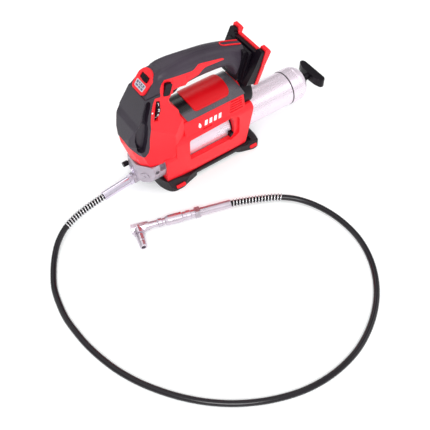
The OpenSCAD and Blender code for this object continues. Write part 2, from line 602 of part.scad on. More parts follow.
module pump_head() color(steel) difference() {
  union() {
    head_body();
    aim([-166, 0, 22.8], outlet_dir) cylinder(r = 9.5, h = 14);
    difference() {
      translate([x_head - 0.8, 0, 40]) rotate([0, 90, 0]) cylinder(r = 8.5, h = 10);
      gearcase(0.2);
    }
    // boss of the gallery's plug, on the side opposite the bleed valve
    aim(plug_at, plug_dir) translate([0, 0, -8]) cylinder(r = 6.5, h = 9.2);
  }
  aim(plug_at, plug_dir) cylinder(r = 2.2, h = 5, $fn = 6);
  // barrel socket and grease chamber
  xcyl(barrel_r + 0.08, -134, -110);
  intersection() {
    xcyl(18, -136, -110);
    block([-140, -60, 20], [-110, 60, 100]);
  }
  translate([piston_x, 0, 44]) cylinder(r = 4.05, h = 60);
  // check valve bore across the outlet
  translate([piston_x, 0, 12]) cylinder(r = 5.5, h = 34);
  aim([-150, 0, 24.3], outlet_dir) cylinder(r = 3, h = 60);
  aim([-166, 0, 22.8], outlet_dir) translate([0, 0, 6]) cylinder(r = 6.05, h = 20);
  translate([x_head - 6, 0, 40]) rotate([0, 90, 0]) cylinder(r = 4.1, h = 18);
  aim(bleed_at - 16 * bleed_dir, bleed_dir) cylinder(r = 2.9, h = 40);
  aim(bleed_at, bleed_dir) cylinder(r = 4.5, h = 20);
  aim([piston_x, 0, 38.8], [-7, 17.6, 0]) cylinder(r = 1.5, h = 19);
  for (m = [0, 1]) mirror([0, m, 0]) translate(bolt_at) rotate([-90, 0, 0]) {
    translate([0, 0, -14]) cylinder(r = 2.1, h = 30);
    translate([0, 0, -6]) cylinder(r = 3.6, h = 30);
  }
}
module head_bolts() color("dimgray") for (m = [0, 1]) mirror([0, m, 0]) translate(bolt_at) rotate([-90, 0, 0])
  difference() {
    union() {
      translate([0, 0, -13.5]) cylinder(r = 2.05, h = 8);
      translate([0, 0, -5.9]) cylinder(r = 3.3, h = 4);
    }
    translate([0, 0, -3.9]) cylinder(r = 1.6, h = 3.5, $fn = 6);
  }
module relief_valve() color(steel) translate([x_head - 0.9, 0, 40]) rotate([0, -90, 0]) {
  translate([0, 0, -11]) cylinder(r = 4, h = 11.1);
  cylinder(r = 7, h = 1.4, $fn = 6);
  translate([0, 0, 1.3]) cylinder(r = 5.2, h = 1.3);
  translate([0, 0, 2.5]) cylinder(r = 3.4, h = 0.6);
}
module bleed_valve() color(black) aim(bleed_at, bleed_dir) {
  translate([0, 0, -11]) cylinder(r = 2.8, h = 15);
  translate([0, 0, 3.2]) cylinder(r = 4.2, h = 8);
}
module check_ball() color(steel) translate([piston_x, 0, 30]) sphere(r = 4.6, $fn = 32);
module check_plug() color(steel) translate([piston_x, 0, 13.2]) {
  translate([0, 0, 2.2]) cylinder(r = 5.4, h = 8);
}
module outlet_fitting() color(steel) aim([-166, 0, 22.8], outlet_dir) difference() {
  union() {
    translate([0, 0, 6.2]) cylinder(r = 6, h = 8);
    translate([0, 0, 14.1]) cylinder(r = 8.4, h = 6.4, $fn = 6);
  }
  translate([0, 0, 5]) cylinder(r = 2, h = 20);
}

// ---- barrel, cap and plunger
module barrel_tube() color(steel) difference() {
  xcyl(barrel_r, -133.9, seam_x - 0.8);
  xcyl(barrel_r - barrel_wall, -150, seam_x + 5);
}
module hoop_bush() color(black) difference() {
  union() {
    xtube(tunnel_r - 0.05, barrel_r + 0.1, -10, x_hoop - 0.5);
    // rubber lug in the lower corner of each window
    intersection() {
      side(offset_pts(window_pts, -0.6), 36.3);
      block([-16, -60, 40], [-7, 60, 52]);
    }
  }
  xcyl(barrel_r + 0.1, -20, 40);
}
rod_r = 4;
cap_profile = [[seam_x + 0.8, barrel_r + 1], [seam_x + 15, barrel_r + 1], [seam_x + 16, barrel_r + 0.2],
  [seam_x + 18, barrel_r + 0.2], [seam_x + 19, barrel_r + 0.6]];
module barrel_cap() color(steel) revolve_x(concat(cap_profile,
  arc([seam_x + 19, barrel_r - 16.4], 17, 90, 8, 8),
  [[seam_x + 37, 10], [seam_x + 39, 9], [seam_x + 39, rod_r + 0.08], [seam_x + 33, rod_r + 0.08], [seam_x + 33, 10]],
  [[seam_x + 30, 18], [seam_x + 24, 24], [seam_x + 17, 26.4], [seam_x + 0.8, barrel_r - barrel_wall + 0.2]]));
module cap_gasket() color("dimgray") xtube(barrel_r + 0.5, barrel_r - barrel_wall + 0.3, seam_x - 0.75, seam_x + 0.75);
fol_r = barrel_r - barrel_wall - 0.3;
module follower() color(black) revolve_x([[-116, rod_r + 0.05], [-118, 10], [-118, 24], [-120, fol_r], [-104, fol_r],
  [-108, 24], [-110, 12], [-104, 12], [-104, rod_r + 0.05]]);
spring_turns = 16;
function coil_pt(i, n, r, x0, x1) = [x0 + (x1 - x0) * i / n, r * cos(360 * spring_turns * i / n),
  axis_z + r * sin(360 * spring_turns * i / n)];
module follower_spring() color(steel) skin([for (i = [0:spring_turns * 12]) let (n = spring_turns * 12,
    p = coil_pt(i, n, 21, -101, seam_x + 14), a = 360 * spring_turns * i / n)
  [for (k = [0:5]) p + [1.1 * cos(60 * k), 1.1 * sin(60 * k) * cos(a), 1.1 * sin(60 * k) * sin(a)]]]);
module plunger_rod() color(steel) revolve_x([[-114, 0], [-114, rod_r - 1], [-113, rod_r], [-100, rod_r], [-100, rod_r + 2.5],
  [-98, rod_r + 2.5], [-98, rod_r], [seam_x + 54, rod_r], [seam_x + 54, 0]]);
// pull handle: hub and cross bar
bar_x0 = half_length - 15.5;
bar_pts = soft([[bar_x0 + 4, -30], [half_length - 4, -30], [half_length, -22], [half_length, 22], [half_length - 4, 30],
  [bar_x0 + 5, 30], [bar_x0, 18], [bar_x0 - 1, 0], [bar_x0, -18]], 4);
module pull_handle() color(black) difference() {
  union() {
    intersection() {
      plan(bar_pts, axis_z - 7.5, axis_z + 7.5);
      side(soft([for (p = [[bar_x0 - 4, -7.5], [half_length, -7.5], [half_length, 7.5], [bar_x0 - 4, 7.5]]) p + [0, axis_z]], 3), 40);
    }
    xcyl(6, seam_x + 40, bar_x0 + 3);
    xcyl(8.5, seam_x + 40, seam_x + 44);
  }
  xcyl(rod_r + 0.02, 100, seam_x + 54.2);
}

// ---- hose: the route's points, from the ferrule at the head to the one at the coupler
ferrule_l = 47;
ferrule_start = [-166, 0, 22.8] + outlet_dir * 20.6;
ferrule_end = ferrule_start + outlet_dir * ferrule_l;
route = [[-262, -5, 14.1], [-285, -9, 12.3], [-308, -17, 10], [-328, -31, 7.4], [-345, -51, 5.5], [-359, -74, 4.7],
  [-370, -98, 4.5], [-376, -124, 4.5], [-379, -150, 4.5], [-378, -176, 4.5], [-375, -203, 4.5],
  [-369, -230, 4.5], [-360, -258, 4.5], [-347, -286, 4.5], [-331, -312, 4.5], [-312, -337, 4.5],
  [-289, -361, 4.5], [-263, -382, 4.5], [-235, -399, 4.5], [-206, -412, 4.5], [-176, -421, 4.5],
  [-145, -425, 4.5], [-114, -424, 4.5], [-83, -418, 4.5], [-53, -406, 4.5], [-25, -389, 4.5],
  [0, -367, 4.5], [20, -341, 4.5], [34, -313, 4.5], [42, -283, 4.5], [43, -252, 4.5],
  [38, -222, 4.6], [27, -194, 5.2], [11, -171, 6.2], [-9, -154, 6.8], [-31, -142, 7.2], [-54, -131.5, 7.8]];
coupler_z = 8.4;
coupler_at = [-78, -122, coupler_z];
coupler_dir = unit([-0.957, 0.29, 0]);
line = concat([ferrule_end], route, [coupler_at]);
function tangent(p, i) = unit(p[min(i + 1, len(p) - 1)] - p[max(i - 1, 0)]);
function ring_at(p, i, r, n) = let (t = i == 0 && p[0] == ferrule_end ? outlet_dir :
    i == len(p) - 1 && p[i] == coupler_at ? coupler_dir : tangent(p, i),
    s = unit(cross(t, [0, 0, 1])), u = cross(s, t))
  [for (k = [0:n - 1]) p[i] + r * (cos(360 * (k + 0.5) / n) * s + sin(360 * (k + 0.5) / n) * u)];
module sweep(p, r, n = 10) skin([for (i = [0:len(p) - 1]) ring_at(p, i, r, n)]);
module hose() color(black) sweep(line, hose_d / 2, 10);
// Spring guards: a close coil wound round the hose, over one stretch of its line
guard_r = 5.55;
wire_r = 0.9;
function reach(p, i) = i == 0 ? 0 : reach(p, i - 1) + norm(p[i] - p[i - 1]);
function place(p, s, i = 1) = let (d = norm(p[i] - p[i - 1]))
  s <= d || i == len(p) - 1 ? [p[i - 1] + (p[i] - p[i - 1]) * s / d,
    unit((1 - s / d) * tangent_at(p, i - 1) + s / d * tangent_at(p, i))] : place(p, s - d, i + 1);
function tangent_at(p, i) = i == 0 ? outlet_dir : i == len(p) - 1 ? coupler_dir : tangent(p, i);
function coil_ring(p, s, turn) = let (q = place(p, s), t = q[1], a = unit(cross(t, [0, 0, 1])), b = cross(a, t),
    o = cos(turn) * a + sin(turn) * b)
  [for (k = [0:3]) q[0] + o * (guard_r + wire_r * cos(90 * k)) + t * (1.1 * wire_r * sin(90 * k))];
module guard(s0, s1, turns) color(steel) skin([for (i = [0:turns * 12])
  coil_ring(line, s0 + (s1 - s0) * i / (turns * 12), 30 * i)]);
line_l = reach(line, len(line) - 1);
module front_spring() guard(1.1, 76, 16);
module end_spring() guard(line_l - 82, line_l - 1.1, 16);
module front_ferrule() color(steel) aim(ferrule_start, outlet_dir) difference() {
  cylinder(r = 7, h = ferrule_l - 0.1);
  translate([0, 0, -1]) cylinder(r = 2, h = 80);
}

// ---- coupler, laid along its own axis
module on_coupler(t) aim(coupler_at + coupler_dir * t, coupler_dir) children();
module end_ferrule() color(steel) on_coupler(0.1) difference() {
  cylinder(r = 6.4, h = 49.8);
  translate([0, 0, -1]) cylinder(r = 2, h = 80);
}
module coupler_nut() color(steel) on_coupler(50) rotate(30) difference() {
  cylinder(r = 9.6, h = 8, $fn = 6);
  translate([0, 0, -1]) cylinder(r = 2, h = 80);
}
module coupler_body() color(steel) on_coupler(58.1) difference() {
  rotate_extrude() polygon([[2, 0], [6.4, 0], [6.4, 6], [7.4, 7], [7.4, 14], [6.6, 15], [6.6, 19], [8, 21], [8, 42], [6.2, 47], [2, 47]]);
}
module coupler_collar() color(steel) on_coupler(105.2) rotate_extrude()
  polygon([[2, 0], [5.6, 0], [5.6, 4], [6.6, 5], [6.6, 11], [5.2, 12], [5.2, 26], [2, 26]]);
side_dir = [coupler_dir[1] * -1, coupler_dir[0], 0];
elbow_s = 148;
elbow_at = coupler_at + coupler_dir * elbow_s;
module elbow_block() color(steel) difference() {
  union() {
    on_coupler(131.3) cylinder(r = 7.4, h = 5.7);
    on_coupler(136.9) rotate(22.5) cylinder(r = 8.3, h = 21, $fn = 8);
    aim(elbow_at, side_dir) cylinder(r = 8, h = 12);
  }
  on_coupler(130) cylinder(r = 2, h = elbow_s - 130);
  aim(elbow_at, side_dir) cylinder(r = 2, h = 40);
}
nozzle_l = 24.5;
module nozzle() color(steel) aim(elbow_at + side_dir * 12.1, side_dir) difference() {
  rotate_extrude() polygon([[2, 0], [5.6, 0], [6.3, 2], [6.3, 13], [5.8, 14], [5.8, nozzle_l - 2], [5, nozzle_l],
    [3.3, nozzle_l], [3.3, nozzle_l - 9], [2, nozzle_l - 10]]);
}

housing_left();
housing_right();
housing_screws();
grip_overmould();
front_guard();
motor_cover();
badge_panel();
rear_bumper();
dock_cover();
dock_rim();
terminal_block();
battery_terminals();
skid_base();
foot_inserts();
selector_bezel();
speed_switch();
switch_seat();
selector_plate();
shutoff_dial();
dial_digits();
trigger();
lock_button();
switch_module();
control_board();
power_leads();
motor_can();
motor_rings();
rotor();
motor_pinion();
crank_gear();
crank_shaft();
crank_bearings();
drive_plate();
pump_yoke();
pump_piston();
pump_head();
head_bolts();
relief_valve();
bleed_valve();
check_ball();
check_plug();
outlet_fitting();
barrel_tube();
hoop_bush();
barrel_cap();
cap_gasket();
follower();
follower_spring();
plunger_rod();
pull_handle();
front_ferrule();
front_spring();
hose();
end_spring();
end_ferrule();
coupler_nut();
coupler_body();
coupler_collar();
elbow_block();
nozzle();
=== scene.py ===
"""A cordless grease gun with its floor-laid hose: looks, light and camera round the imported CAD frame."""

import math

import bmesh
import bpy
from mathutils import Matrix, Vector
from mathutils.bvhtree import BVHTree


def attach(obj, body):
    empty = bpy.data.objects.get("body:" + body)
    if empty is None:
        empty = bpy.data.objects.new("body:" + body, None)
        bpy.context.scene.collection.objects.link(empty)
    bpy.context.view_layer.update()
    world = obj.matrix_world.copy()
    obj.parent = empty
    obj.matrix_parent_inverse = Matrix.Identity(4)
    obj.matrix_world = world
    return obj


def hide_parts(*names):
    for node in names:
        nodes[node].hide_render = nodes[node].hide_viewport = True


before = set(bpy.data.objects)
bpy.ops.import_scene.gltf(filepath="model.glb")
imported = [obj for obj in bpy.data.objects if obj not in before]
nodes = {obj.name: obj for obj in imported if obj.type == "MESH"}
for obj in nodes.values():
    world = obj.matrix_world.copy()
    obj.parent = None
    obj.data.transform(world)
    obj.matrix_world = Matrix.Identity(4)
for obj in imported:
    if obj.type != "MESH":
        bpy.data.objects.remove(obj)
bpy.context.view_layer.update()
scene = bpy.context.scene
MM = 0.001

# ---------------------------------------------------------------- camera
CAMERA_AT = Vector((-0.4752, -0.6410, 0.8539))
CAMERA_AZIMUTH = math.radians(-35.344)
CAMERA_ELEVATION = math.radians(53.264)
LENS = 57.83
SENSOR_W = 36
CLIP_NEAR, CLIP_FAR = 0.02, 20


def make_camera():
    data = bpy.data.cameras.new("camera")
    data.sensor_width = SENSOR_W
    data.lens = LENS
    data.clip_start, data.clip_end = CLIP_NEAR, CLIP_FAR
    cam = bpy.data.objects.new("camera", data)
    scene.collection.objects.link(cam)
    flat = math.cos(CAMERA_ELEVATION)
    back = Vector((math.sin(CAMERA_AZIMUTH) * flat, -math.cos(CAMERA_AZIMUTH) * flat,
                   math.sin(CAMERA_ELEVATION)))
    cam.location = CAMERA_AT
    cam.rotation_mode = "QUATERNION"
    cam.rotation_quaternion = (-back).to_track_quat("-Z", "Y")
    scene.camera = cam


make_camera()


# ---------------------------------------------------------------- materials
EDGE_FLAT, EDGE_SHARP = 0.985, 0.80
# the colour of the painted shade on the motor cover's front top, and how softly its borders fade in X and Z,
# in metres
PAINTED_SHADE_COLOUR = (0.006, 0.004, 0.006)
PAINTED_SHADE_SOFT_X, PAINTED_SHADE_SOFT_Z = 0.001, 0.002
BUMP_DEPTH = 0.0004


class Graph:
    """A material's node tree, with short calls for the nodes that the materials share."""

    def __init__(self, name):
        self.material = bpy.data.materials.new(name)
        self.material.use_nodes = True
        self.tree = self.material.node_tree
        self.shader = self.tree.nodes["Principled BSDF"]
        self.place = self.add("ShaderNodeTexCoord").outputs["Object"]

    def add(self, kind, **inputs):
        node = self.tree.nodes.new(kind)
        for key, value in inputs.items():
            self.put(node.inputs[key.replace("_", " ")], value)
        return node

    def put(self, socket, value):
        if isinstance(value, bpy.types.NodeSocket):
            self.tree.links.new(value, socket)
        else:
            socket.default_value = value

    def noise(self, scale, detail=3.0, roughness=0.55, stretch=None):
        vector = self.place
        if stretch:
            vector = self.add("ShaderNodeMapping", Vector=vector, Scale=stretch).outputs[0]
        node = self.add("ShaderNodeTexNoise", Vector=vector, Scale=scale, Detail=detail, Roughness=roughness)
        return node.outputs["Fac"]

    def spread(self, value, low, high, out_low=0.0, out_high=1.0):
        node = self.add("ShaderNodeMapRange", Value=value)
        for key, number in (("From Min", low), ("From Max", high), ("To Min", out_low), ("To Max", out_high)):
            node.inputs[key].default_value = number
        return node.outputs[0]

    def math(self, operation, a, b=0.0):
        node = self.tree.nodes.new("ShaderNodeMath")
        node.operation = operation
        self.put(node.inputs[0], a)
        self.put(node.inputs[1], b)
        return node.outputs[0]

    def mix(self, share, a, b):
        """A blend of two colours: sockets 6 and 7 take them, and output 2 gives the result."""
        node = self.tree.nodes.new("ShaderNodeMix")
        node.data_type = "RGBA"
        self.put(node.inputs[0], share)
        self.put(node.inputs[6], a)
        self.put(node.inputs[7], b)
        return node.outputs[2]

    def edges(self, radius):
        """1 where an edge is near, 0 on flat stretches, and the softened normal."""
        bevel = self.add("ShaderNodeBevel", Radius=radius)
        bevel.samples = 4
        face = self.add("ShaderNodeNewGeometry")
        dot = self.tree.nodes.new("ShaderNodeVectorMath")
        dot.operation = "DOT_PRODUCT"
        self.put(dot.inputs[0], bevel.outputs[0])
        self.put(dot.inputs[1], face.outputs["Normal"])
        return self.spread(dot.outputs["Value"], EDGE_FLAT, EDGE_SHARP), bevel.outputs[0]


def rgb(colour, factor=1.0):
    return (*[min(1.0, c * factor) for c in colour], 1.0)


def surface(name, colour, rough, metal=0.0, mottle=0.08, mottle_scale=18, grain=900, relief=0.04,
            worn_edge_and_highlight=None, edge_tint_share=0.35, edge=0.0006, rough_spread=0.08, stretch=None, specular=0.5, painted_shade=None):
    """A moulded, cast, painted or turned surface with uneven colour, fine grain and lighter edges, partly
    scuffing and partly painted highlight.

    dark is an (X, Z) in metres: ahead of that X and above that Z the surface is painted nearly black, a
    painted shade standing in for the handle's shadow and its black reflection on the cover.
    """
    g = Graph(name)
    broad = g.noise(mottle_scale, 4)
    base = g.mix(g.spread(broad, 0.3, 0.7), rgb(colour, 1 - mottle), rgb(colour, 1 + mottle))
    near_edge, soft_normal = g.edges(edge)
    patchy = g.spread(g.noise(mottle_scale * 9, 3), 0.42, 0.62)
    # a lighter tint on edges, in patches: scuffing, and a painted edge highlight along the guard's ledge
    if worn_edge_and_highlight:
        base = g.mix(g.math("MULTIPLY", g.math("MULTIPLY", near_edge, patchy), edge_tint_share), base, rgb(worn_edge_and_highlight))
    # painted shade: nearly black ahead of an X and above a Z, standing in for shadow and reflection
    if painted_shade:
        parts = g.add("ShaderNodeSeparateXYZ", Vector=g.place)
        ahead = g.spread(parts.outputs["X"], painted_shade[0] + PAINTED_SHADE_SOFT_X, painted_shade[0] - PAINTED_SHADE_SOFT_X)
        above = g.spread(parts.outputs["Z"], painted_shade[1] - PAINTED_SHADE_SOFT_Z, painted_shade[1] + PAINTED_SHADE_SOFT_Z)
        base = g.mix(g.math("MULTIPLY", ahead, above), base, rgb(PAINTED_SHADE_COLOUR))
    g.put(g.shader.inputs["Base Color"], base)
    fine = g.noise(grain, 2, 0.5, stretch)
    uneven = g.math("ADD", g.math("MULTIPLY", broad, 0.7), g.math("MULTIPLY", fine, 0.3))
    gloss = g.spread(uneven, 0.3, 0.7, rough - rough_spread, rough + rough_spread)
    g.put(g.shader.inputs["Roughness"], gloss)
    g.shader.inputs["Metallic"].default_value = metal
    g.shader.inputs["Specular IOR Level"].default_value = specular
    bump = g.add("ShaderNodeBump", Strength=relief, Distance=BUMP_DEPTH, Height=fine, Normal=soft_normal)
    g.put(g.shader.inputs["Normal"], bump.outputs[0])
    return g.material


RED = (0.87, 0.010, 0.020)
BLACK = (0.031, 0.021, 0.035)
looks = {
    "red_shell": surface("red_shell", RED, 0.36, mottle=0.05, grain=1500, relief=0.06,
                         worn_edge_and_highlight=(0.95, 0.10, 0.11), edge_tint_share=0.4, specular=0.36),
    "red_gloss": surface("red_gloss", (0.62, 0.003, 0.008), 0.34, mottle=0.05, grain=700, relief=0.02,
                         worn_edge_and_highlight=(0.90, 0.08, 0.09), edge_tint_share=0.5, specular=0.24),
    "grip_rubber": surface("grip_rubber", BLACK, 0.42, mottle=0.25, grain=2600, relief=0.3,
                           worn_edge_and_highlight=(0.09, 0.08, 0.1), edge_tint_share=0.6, edge=0.001, specular=0.45),
    "foot_rubber": surface("foot_rubber", (0.013, 0.009, 0.012), 0.45, mottle=0.2, grain=2200, relief=0.2,
                           worn_edge_and_highlight=(0.05, 0.03, 0.04), edge_tint_share=0.5, edge=0.001, specular=0.3),
    # the guard's lighter edge tint is partly scuffing and partly a painted highlight along its ledge
    "guard_rubber": surface("guard_rubber", (0.020, 0.014, 0.024), 0.36, mottle=0.25, grain=2200, relief=0.2,
                            worn_edge_and_highlight=(0.09, 0.085, 0.11), edge_tint_share=0.6, edge=0.0009, specular=0.45),
    "black_plastic": surface("black_plastic", (0.005, 0.003, 0.006), 0.34, mottle=0.2, grain=1700,
                             relief=0.14, worn_edge_and_highlight=(0.05, 0.04, 0.055), edge_tint_share=0.5, specular=0.2),
    # the motor cover's front top carries painted shade, in place of the handle's shadow and its reflection
    # there
    "cover_plastic": surface("cover_plastic", (0.080, 0.070, 0.084), 0.26, mottle=0.15, grain=1200,
                             relief=0.06, worn_edge_and_highlight=(0.14, 0.14, 0.15), edge_tint_share=0.5, painted_shade=(-0.077, 0.129)),
    "cast_head": surface("cast_head", (0.48, 0.43, 0.49), 0.46, metal=0.8, mottle=0.12, mottle_scale=60,
                         grain=1100, relief=0.5, worn_edge_and_highlight=(0.85, 0.85, 0.87), edge_tint_share=0.6, edge=0.0008),
    "barrel": surface("barrel", (0.84, 0.74, 0.83), 0.30, metal=0.5, mottle=0.03, mottle_scale=20, grain=1400,
                      relief=0.01, worn_edge_and_highlight=(0.92, 0.9, 0.93), edge_tint_share=0.2, stretch=(0.15, 1, 1), edge=0.0007),
    "chrome": surface("chrome", (0.72, 0.66, 0.78), 0.2, metal=1.0, mottle=0.06, mottle_scale=60, grain=1500,
                      relief=0.06, worn_edge_and_highlight=(0.95, 0.95, 0.95), edge_tint_share=0.3, rough_spread=0.06, edge=0.0004),
    "coupler_steel": surface("coupler_steel", (0.63, 0.56, 0.63), 0.29, metal=1.0, mottle=0.08,
                             mottle_scale=60, grain=1500, relief=0.08, worn_edge_and_highlight=(0.9, 0.88, 0.9), edge_tint_share=0.4,
                             rough_spread=0.06, edge=0.0005),
    "turned_steel": surface("turned_steel", (0.64, 0.64, 0.65), 0.27, metal=1.0, mottle=0.08, mottle_scale=70,
                            grain=1800, relief=0.14, worn_edge_and_highlight=(0.85, 0.85, 0.85), edge_tint_share=0.4, edge=0.0004),
    "zinc": surface("zinc", (0.56, 0.57, 0.56), 0.35, metal=1.0, mottle=0.12, mottle_scale=90, grain=1500,
                    relief=0.15, worn_edge_and_highlight=(0.8, 0.8, 0.8), edge_tint_share=0.5, edge=0.0004),
    "hose_rubber": surface("hose_rubber", (0.004, 0.002, 0.005), 0.2, mottle=0.2, mottle_scale=40, grain=1500,
                           relief=0.03, worn_edge_and_highlight=(0.03, 0.02, 0.03), edge_tint_share=0.3, rough_spread=0.05, specular=0.42),
    "spring_steel": surface("spring_steel", (0.78, 0.78, 0.80), 0.2, metal=0.9, mottle=0.08, mottle_scale=120,
                            grain=1600, relief=0.05, edge=0.0002),
    "seal": surface("seal", (0.03, 0.03, 0.032), 0.55, mottle=0.15, grain=1500, relief=0.1, edge=0.0003),
    "copper": surface("copper", (0.72, 0.30, 0.14), 0.35, metal=1.0, mottle=0.15, mottle_scale=90, grain=600,
                      relief=0.6, edge=0.0004, stretch=(1, 6, 6)),
    "board": surface("board", (0.02, 0.18, 0.07), 0.4, mottle=0.2, mottle_scale=200, grain=900, relief=0.3),
    "lead_red": surface("lead_red", (0.45, 0.02, 0.02), 0.3, mottle=0.1, grain=900, relief=0.05),
    "print_white": surface("print_white", (0.86, 0.86, 0.87), 0.4, mottle=0.04, mottle_scale=300, grain=2500,
                           relief=0.03, edge=0.0001),
    "label": surface("label", (0.50, 0.50, 0.56), 0.3, mottle=0.06, mottle_scale=150, grain=1500,
                     relief=0.03),
    "label_dark": surface("label_dark", (0.10, 0.10, 0.16), 0.35, mottle=0.08, mottle_scale=150, grain=1500,
                          relief=0.03),
    "motor_black": surface("motor_black", (0.09, 0.09, 0.10), 0.35, metal=0.8, mottle=0.1, grain=900,
                           relief=0.1),
}

node_looks = {
    "red_shell": ["housing_left", "housing_right", "dock_rim", "foot_inserts", "selector_bezel"],
    "red_gloss": ["badge_panel"],
    "grip_rubber": ["grip_overmould"],
    "foot_rubber": ["skid_base"],
    "guard_rubber": ["front_guard"],
    "black_plastic": ["switch_seat", "rear_bumper", "dock_cover", "terminal_block", "speed_switch",
                      "shutoff_dial", "trigger", "lock_button", "switch_module", "bleed_valve", "pull_handle",
                      "motor_rings", "hoop_bush"],
    "cover_plastic": ["motor_cover"],
    "cast_head": ["pump_head"],
    "barrel": ["barrel_tube", "barrel_cap"],
    "chrome": ["front_ferrule", "outlet_fitting", "relief_valve"],
    "coupler_steel": ["end_ferrule", "coupler_nut", "coupler_body", "coupler_collar", "elbow_block",
                      "nozzle"],
    "turned_steel": ["plunger_rod", "pump_piston", "pump_yoke", "crank_shaft", "crank_gear", "motor_pinion",
                     "check_ball", "check_plug", "battery_terminals"],
    "zinc": ["housing_screws", "head_bolts", "crank_bearings", "drive_plate", "follower_spring"],
    "hose_rubber": ["hose"],
    "spring_steel": ["front_spring", "end_spring"],
    "seal": ["cap_gasket", "follower"],
    "copper": ["rotor"],
    "board": ["control_board"],
    "lead_red": ["power_leads"],
    "print_white": ["dial_digits"],
    "label": ["selector_plate"],
    "motor_black": ["motor_can"],
}


def dress(obj, look):
    obj.data.materials.clear()
    obj.data.materials.append(looks[look])
    return obj


for look, names in node_looks.items():
    for name in names:
        dress(nodes[name], look)


# ---------------------------------------------------------------- hose and its spring guards
def unit(x, y, z=0.0):
    return Vector((x, y, z)).normalized()


HOSE_D = 9 * MM
OUTLET_AT = Vector((-166, 0, 22.8)) * MM
OUTLET_DIR = unit(-54, -2, -5)
FITTING_L = 20.6 * MM
FERRULE_START = OUTLET_AT + OUTLET_DIR * FITTING_L
FERRULE_L = 47 * MM
FERRULE_END = FERRULE_START + OUTLET_DIR * FERRULE_L
# the hose's middle line from the ferrule to the coupler, in millimetres; most of it lies on the floor
ROUTE = [
    (-262, -5, 14.1), (-285, -9, 12.3), (-308, -17, 10), (-328, -31, 7.4), (-345, -51, 5.5), (-359, -74, 4.7),
    (-370, -98, 4.5), (-376, -124, 4.5), (-379, -150, 4.5), (-378, -176, 4.5), (-375, -203, 4.5),
    (-369, -230, 4.5), (-360, -258, 4.5), (-347, -286, 4.5), (-331, -312, 4.5), (-312, -337, 4.5),
    (-289, -361, 4.5), (-263, -382, 4.5), (-235, -399, 4.5), (-206, -412, 4.5), (-176, -421, 4.5),
    (-145, -425, 4.5), (-114, -424, 4.5), (-83, -418, 4.5), (-53, -406, 4.5), (-25, -389, 4.5),
    (0, -367, 4.5), (20, -341, 4.5), (34, -313, 4.5), (42, -283, 4.5), (43, -252, 4.5),
    (38, -222, 4.6), (27, -194, 5.2), (11, -171, 6.2), (-9, -154, 6.8), (-31, -142, 7.2), (-54, -131.5, 7.8),
]
COUPLER_AT = Vector((-78, -122, 8.4)) * MM
COUPLER_DIR = unit(-0.957, 0.29)


def smooth_line(points, start_dir, end_dir, steps=8):
    """A curve through the points that leaves and arrives along the given directions."""
    first = points[0] - start_dir * (points[1] - points[0]).length
    last = points[-1] + end_dir * (points[-1] - points[-2]).length
    p = [first] + points + [last]
    line = []
    for i in range(1, len(p) - 2):
        a, b, c, d = p[i - 1 : i + 3]
        for k in range(steps):
            t = k / steps
            line.append(0.5 * (2 * b + (c - a) * t + (2 * a - 5 * b + 4 * c - d) * t**2
                               + (3 * b - a - 3 * c + d) * t**3))
    return line + [points[-1]]


def curve_piece(name, points, radius, look, body="housing", sides=5):
    data = bpy.data.curves.new(name, "CURVE")
    data.dimensions = "3D"
    data.bevel_depth = radius
    data.bevel_resolution = sides
    data.use_fill_caps = True
    spline = data.splines.new("POLY")
    spline.points.add(len(points) - 1)
    for knot, point in zip(spline.points, points):
        knot.co = (*point, 1)
    spline.use_smooth = True
    obj = bpy.data.objects.new(name, data)
    scene.collection.objects.link(obj)
    data.materials.append(looks[look])
    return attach(obj, body)


hose_points = [FERRULE_END] + [Vector(p) * MM for p in ROUTE] + [COUPLER_AT]
hose_line = smooth_line(hose_points, OUTLET_DIR, COUPLER_DIR)
hose_length = sum((b - a).length for a, b in zip(hose_line, hose_line[1:]))
hose = curve_piece("delivery_hose", hose_line, HOSE_D / 2, "hose_rubber", sides=6)
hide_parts("hose")


def along(line, distance):
    """The point at a distance along the line, and the line's direction there."""
    for a, b in zip(line, line[1:]):
        step = (b - a).length
        if distance <= step:
            return a + (b - a) * (distance / step), (b - a).normalized()
        distance -= step
    return line[-1], (line[-1] - line[-2]).normalized()


WIRE_R = 0.95 * MM
COIL_R = 5.5 * MM
COIL_TURNS = 16
COIL_GAP = 1.1 * MM
FRONT_COIL_END = 76 * MM
END_COIL_L = 82 * MM
POINTS_A_TURN = 24


def coil_on_hose(name, start, end, node):
    """A round wire wound on the hose, between two distances along it, in place of a CAD node."""
    points = []
    last = COIL_TURNS * POINTS_A_TURN
    for i in range(last + 1):
        at, ahead = along(hose_line, start + (end - start) * i / last)
        across = ahead.cross(Vector((0, 0, 1))).normalized()
        up = across.cross(ahead)
        turn = 2 * math.pi * i / POINTS_A_TURN
        points.append(at + COIL_R * (math.cos(turn) * across + math.sin(turn) * up))
    piece = curve_piece(name, points, WIRE_R, "spring_steel", sides=2)
    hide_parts(node)
    return piece


front_coil = coil_on_hose("front_guard_coil", COIL_GAP, FRONT_COIL_END, "front_spring")
end_coil = coil_on_hose("end_guard_coil", hose_length - END_COIL_L, hose_length - COIL_GAP, "end_spring")


# ---------------------------------------------------------------- printed marks
PRINT_LIFT = 0.12
PRINT_SINK = 0.15


